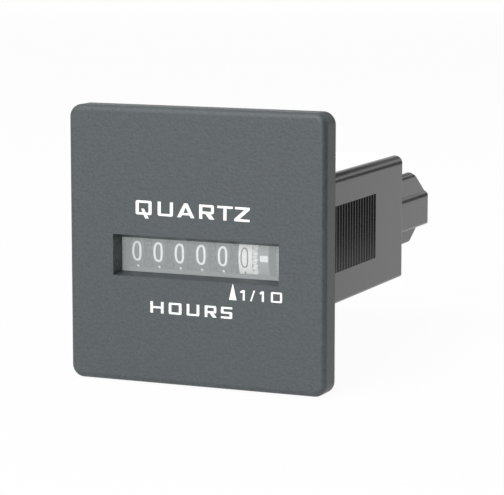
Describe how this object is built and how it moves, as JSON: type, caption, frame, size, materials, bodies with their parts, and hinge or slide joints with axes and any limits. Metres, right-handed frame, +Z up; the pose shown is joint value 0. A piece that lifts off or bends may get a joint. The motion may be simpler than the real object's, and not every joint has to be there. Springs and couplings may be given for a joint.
{
  "type": "hour meter",
  "caption": "Square panel-mounted hour meter with a recessed number-wheel window, a geared counter behind it, a ribbed case and shrouded rear blade terminals.",
  "frame": {"origin": "centre of the seating plane, where the rear of the flange and bezel skirt meets the front of the panel", "axes": "+Y back through the panel towards the terminals, so the dial faces -Y; +Z up; +X to the right of someone reading the dial"},
  "size_m": [0.048, 0.0706, 0.048],
  "materials": {
    "bezel_plastic": "black, fine spark-eroded grain",
    "case_plastic": "black, polished mould surface",
    "lens_clear": "clear moulded acrylic, polished",
    "frame_plastic": "dark grey glass-filled plastic",
    "shaft_steel": "ground steel",
    "wheel_black": "black acetal, matt rim",
    "wheel_white": "white acetal, matt rim",
    "indicator_grey": "grey acetal, matt rim",
    "pinion_nylon": "natural acetal",
    "magnet_ferrite": "sintered ferrite",
    "stator_iron": "stamped soft iron, nickel plated",
    "coil_copper": "enamelled copper wire",
    "bobbin_plastic": "natural plastic",
    "board_laminate": "green glass-fibre laminate",
    "chip_black": "black moulded epoxy",
    "crystal_can": "drawn metal can",
    "capacitor_sleeve": "dark blue shrink sleeve",
    "resistor_body": "beige lacquer",
    "terminal_brass": "tin-plated brass, thin plating"
  },
  "bodies": {
    "housing": {"bezel": "bezel_plastic", "lens": "lens_clear", "case": "case_plastic", "counter_frame": "frame_plastic", "wheel_shaft": "shaft_steel", "pinion_shaft": "shaft_steel", "stator_plate": "stator_iron", "coil_core": "stator_iron", "coil_bobbin": "bobbin_plastic", "coil_winding": "coil_copper", "stator_screws": "shaft_steel", "circuit_board": "board_laminate", "timer_chip": "chip_black", "quartz_crystal": "crystal_can", "capacitor": "capacitor_sleeve", "diode": "chip_black", "resistor": "resistor_body", "terminal_left": "terminal_brass", "terminal_right": "terminal_brass"},
    "tenths_group": {"tenths_wheel": "wheel_white"},
    "ten_thousands_group": {"number_wheel_1": "wheel_black"},
    "thousands_group": {"number_wheel_2": "wheel_black"},
    "hundreds_group": {"number_wheel_3": "wheel_black"},
    "tens_group": {"number_wheel_4": "wheel_black"},
    "ones_group": {"number_wheel_5": "wheel_black"},
    "ten_thousands_carry_group": {"carry_pinion_1": "pinion_nylon"},
    "thousands_carry_group": {"carry_pinion_2": "pinion_nylon"},
    "hundreds_carry_group": {"carry_pinion_3": "pinion_nylon"},
    "tens_carry_group": {"carry_pinion_4": "pinion_nylon"},
    "ones_carry_group": {"carry_pinion_5": "pinion_nylon"},
    "drive_group": {"drive_arbor": "shaft_steel", "drive_gear": "pinion_nylon"},
    "indicator_group": {"run_indicator": "indicator_grey"},
    "rotor_group": {"rotor_pinion": "shaft_steel", "rotor_magnet": "magnet_ferrite"}
  },
  "joints": [
    {"name": "tenths_spin", "type": "hinge", "parent": "housing", "child": "tenths_group", "pos_m": [0.00705, 0.0077, -0.0018], "axis": [-1, 0, 0], "continuous": true},
    {"name": "ten_thousands_spin", "type": "hinge", "parent": "housing", "child": "ten_thousands_group", "pos_m": [-0.01345, 0.0077, -0.0018], "axis": [-1, 0, 0], "continuous": true},
    {"name": "thousands_spin", "type": "hinge", "parent": "housing", "child": "thousands_group", "pos_m": [-0.00936, 0.0077, -0.0018], "axis": [-1, 0, 0], "continuous": true},
    {"name": "hundreds_spin", "type": "hinge", "parent": "housing", "child": "hundreds_group", "pos_m": [-0.00526, 0.0077, -0.0018], "axis": [-1, 0, 0], "continuous": true},
    {"name": "tens_spin", "type": "hinge", "parent": "housing", "child": "tens_group", "pos_m": [-0.00115, 0.0077, -0.0018], "axis": [-1, 0, 0], "continuous": true},
    {"name": "ones_spin", "type": "hinge", "parent": "housing", "child": "ones_group", "pos_m": [0.00295, 0.0077, -0.0018], "axis": [-1, 0, 0], "continuous": true},
    {"name": "ten_thousands_carry_spin", "type": "hinge", "parent": "housing", "child": "ten_thousands_carry_group", "pos_m": [-0.01141, 0.007, 0.0062], "axis": [-1, 0, 0], "continuous": true},
    {"name": "thousands_carry_spin", "type": "hinge", "parent": "housing", "child": "thousands_carry_group", "pos_m": [-0.0073, 0.007, 0.0062], "axis": [-1, 0, 0], "continuous": true},
    {"name": "hundreds_carry_spin", "type": "hinge", "parent": "housing", "child": "hundreds_carry_group", "pos_m": [-0.0032, 0.007, 0.0062], "axis": [-1, 0, 0], "continuous": true},
    {"name": "tens_carry_spin", "type": "hinge", "parent": "housing", "child": "tens_carry_group", "pos_m": [0.00089, 0.007, 0.0062], "axis": [-1, 0, 0], "continuous": true},
    {"name": "ones_carry_spin", "type": "hinge", "parent": "housing", "child": "ones_carry_group", "pos_m": [0.005, 0.007, 0.0062], "axis": [-1, 0, 0], "continuous": true},
    {"name": "drive_spin", "type": "hinge", "parent": "housing", "child": "drive_group", "pos_m": [0.0115, 0.01476, 0.00149], "axis": [-1, 0, 0], "continuous": true},
    {"name": "indicator_spin", "type": "hinge", "parent": "housing", "child": "indicator_group", "pos_m": [0.0104, 0.0077, -0.0018], "axis": [-1, 0, 0], "continuous": true},
    {"name": "rotor_spin", "type": "hinge", "parent": "housing", "child": "rotor_group", "pos_m": [0.014, 0.01263, -0.00594], "axis": [-1, 0, 0], "continuous": true}
  ],
  "couplings": [
    {"joint": "ten_thousands_spin", "follows": "tenths_spin", "ratio": 0.00001},
    {"joint": "thousands_spin", "follows": "tenths_spin", "ratio": 0.0001},
    {"joint": "hundreds_spin", "follows": "tenths_spin", "ratio": 0.001},
    {"joint": "tens_spin", "follows": "tenths_spin", "ratio": 0.01},
    {"joint": "ones_spin", "follows": "tenths_spin", "ratio": 0.1},
    {"joint": "ten_thousands_carry_spin", "follows": "tenths_spin", "ratio": -0.000025},
    {"joint": "thousands_carry_spin", "follows": "tenths_spin", "ratio": -0.00025},
    {"joint": "hundreds_carry_spin", "follows": "tenths_spin", "ratio": -0.0025},
    {"joint": "tens_carry_spin", "follows": "tenths_spin", "ratio": -0.025},
    {"joint": "ones_carry_spin", "follows": "tenths_spin", "ratio": -0.25},
    {"joint": "drive_spin", "follows": "tenths_spin", "ratio": -5},
    {"joint": "indicator_spin", "follows": "tenths_spin", "ratio": 25},
    {"joint": "rotor_spin", "follows": "tenths_spin", "ratio": -225}
  ]
}
